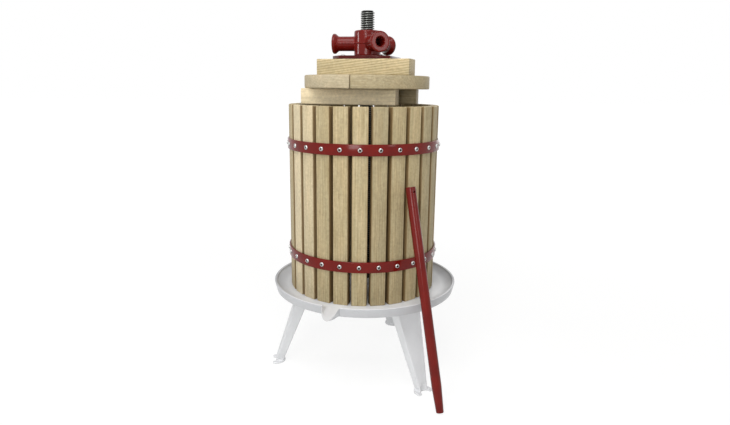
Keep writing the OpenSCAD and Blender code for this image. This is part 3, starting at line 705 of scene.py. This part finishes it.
def makeThread(t):
    bm = bmesh.new()
    flank = (t["pitch"] - t["crest"] - t["root"]) / 2
    heights = [0, t["root"], t["root"] + flank, t["root"] + flank + t["crest"], t["pitch"]]
    radii = [t["rootR"], t["rootR"], t["crestR"], t["crestR"], t["rootR"]]
    start = t["low"] - t["pitch"]
    verts = [bm.verts.new((r * mm, 0, (start + z) * mm)) for r, z in zip(radii, heights)]
    edges = [bm.edges.new((verts[i], verts[i + 1])) for i in range(len(verts) - 1)]
    turns = math.ceil((t["top"] - start) / t["pitch"])
    bmesh.ops.spin(bm, geom=verts + edges, cent=(0, 0, 0), axis=(0, 0, 1),
                   dvec=(0, 0, t["pitch"] / t["steps"] * mm), angle=2 * math.pi * turns,
                   steps=t["steps"] * turns, use_merge=False, use_duplicate=False)
    bmesh.ops.remove_doubles(bm, verts=bm.verts, dist=t["turnGap"] * mm)
    # Cut flat at the top and at the low end, with a ring of points where the chamfer starts
    for height, outer in ((t["top"], True), (t["top"] - t["chamfer"], None), (t["low"], False)):
        bmesh.ops.bisect_plane(bm, geom=bm.verts[:] + bm.edges[:] + bm.faces[:], dist=t["cutGap"] * mm,
                               plane_co=(0, 0, height * mm), plane_no=(0, 0, 1),
                               clear_outer=outer is True, clear_inner=outer is False)
    for v in bm.verts:
        out = math.hypot(v.co.x, v.co.y)
        most = t["crestR"] * mm - max(0, v.co.z - (t["top"] - t["chamfer"]) * mm)
        if out > most:
            v.co.x, v.co.y = v.co.x * most / out, v.co.y * most / out
    bmesh.ops.holes_fill(bm, edges=bm.edges, sides=0)
    # The groove share carries painted shade; the flat top is left at 0, as bright as a crest
    groove = bm.verts.layers.float.new("groove")
    for v in bm.verts:
        if v.co.z < (t["top"] - t["topGap"]) * mm:
            out = math.hypot(v.co.x, v.co.y) / mm
            v[groove] = (t["crestR"] - out) / (t["crestR"] - t["rootR"])
    length = t["low"] + t["shankLap"] - t["shankLow"]
    bmesh.ops.create_cone(bm, cap_ends=True, segments=t["shankSteps"], depth=length * mm,
                          radius1=t["shankR"] * mm, radius2=t["shankR"] * mm,
                          matrix=Matrix.Translation((0, 0, (t["shankLow"] + length / 2) * mm)))
    bmesh.ops.recalc_face_normals(bm, faces=bm.faces)
    makePiece(bm, "screwThread", screwSteel, "base", ["press_screw"], sharp=25)


makeThread(thread)
for node in ("leg_bolts", "leg_washers", "leg_nuts", "screw_washer", "screw_nut"):
    paintNode(node, plated)
print("screw and fastenings made")

# Blocks and boards: the grain runs along the blocks and across the seam of the boards,
# and each comes from its own stretch of the log
stackWood = dict(edge=1.2, logStep=900)
stack = dict(
    # The low front block is painted much lighter and greyer, standing in for light that the boards above
    # keep off it; the low rear block is painted darker, as painted shade under the boards
    lower_front_block=dict(turn=-14.5, tint=1.58, fade=0.3, heart=(40, 70), slant=1, rings=0.2),
    lower_rear_block=dict(turn=-14.5, tint=0.8, fade=0.05, heart=(-30, 50), slant=-1, rings=0.3),
    upper_front_block=dict(turn=-22, tint=1.13, fade=0.0, heart=(75, 24), slant=7, rings=0.8),
    upper_rear_block=dict(turn=-22, tint=1.0, fade=0.05, heart=(25, 66), slant=2, rings=0.5),
    left_board=dict(turn=-18, tint=1.0, fade=0.3, heart=(60, 120), slant=1, rings=0.2),
    right_board=dict(turn=-18, tint=0.89, fade=0.1, heart=(-50, 130), slant=-1, rings=0.2))


def makeStack(pieces, w):
    toLength = Matrix.Rotation(-math.pi / 2, 4, "Y")
    for k, (node, p) in enumerate(pieces.items()):
        low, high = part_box(node)
        middle = Matrix.Translation(-(low + high) / 2)
        square = Matrix.Rotation(math.radians(-p["turn"]), 4, "Z")
        slant = Matrix.Rotation(math.radians(p["slant"]), 4, "Y")
        heart = Matrix.Translation(Vector((*p["heart"], w["logStep"] * k)) * mm)
        first, *rest = node.split("_")
        name = first + "".join(word.title() for word in rest)
        wood = oakMaterial("oak" + name[0].upper() + name[1:], heart @ toLength @ slant @ square @ middle,
                           p["tint"], p["fade"], p["rings"])
        makePiece(softCopy(node, w["edge"]), name + "Oak", wood, "press_stack", [node])


makeStack(stack, stackWood)

# Pressure plate and its screws
plate = dict(turn=-22, top=615.5, screwX=38, screwY=29, edge=1.0)


def plateScrewPlaces(p):
    turn = Matrix.Rotation(math.radians(p["turn"]), 4, "Z")
    for x in (-p["screwX"], p["screwX"]):
        for y in (-p["screwY"], p["screwY"]):
            yield turn @ Matrix.Translation(Vector((x, y, p["top"])) * mm)


makePiece(softCopy("pressure_plate", plate["edge"]), "pressurePlateSteel", plateRed, "press_stack",
          ["pressure_plate"])
makeScrews("plateScrewHeads", screwMesh(plateScrew), plateScrewPlaces(plate), "press_stack", "plate_screws")
print("stack and plate made")

# Head: an iron casting, so every edge is run round, with a thin flash line where the mould halves met
head = dict(voxel=0.85, passes=7, parting=639.3, flash=1.3, flashHalf=1.2, mouthR=64.5, upright=0.7,
            rubFrom=0.06, rubSpan=0.12)


def makeHead(h):
    bm = castCopy("press_head", h["voxel"], h["passes"])
    rubbed = bm.verts.layers.float.new("rubbed")
    pushes = []
    for v in bm.verts:
        # How far the surface falls away on all sides: more on an edge
        falls = [v.normal.dot((v.co - e.other_vert(v).co).normalized()) for e in v.link_edges]
        bend = sum(falls) / len(falls)
        v[rubbed] = min(1.0, max(0.0, (bend - h["rubFrom"]) / h["rubSpan"]))
        off = abs(v.co.z - h["parting"] * mm) / (h["flashHalf"] * mm)
        upright = v.normal.to_2d().length > h["upright"]
        outside = v.normal.dot(v.co - Vector((0, 0, v.co.z))) > 0
        if off < 1 and upright and outside and v.co.to_2d().length < h["mouthR"] * mm:
            pushes.append((v, v.normal * h["flash"] * (1 - off) * mm))
    for v, push in pushes:
        v.co += push
    makePiece(bm, "pressHeadCasting", castRed, "press_head", ["press_head"], sharp=80)


makeHead(head)

# Handle: drawn steel tube, painted as it is
paintNode("handle", sheetRed)
print("head and handle made")
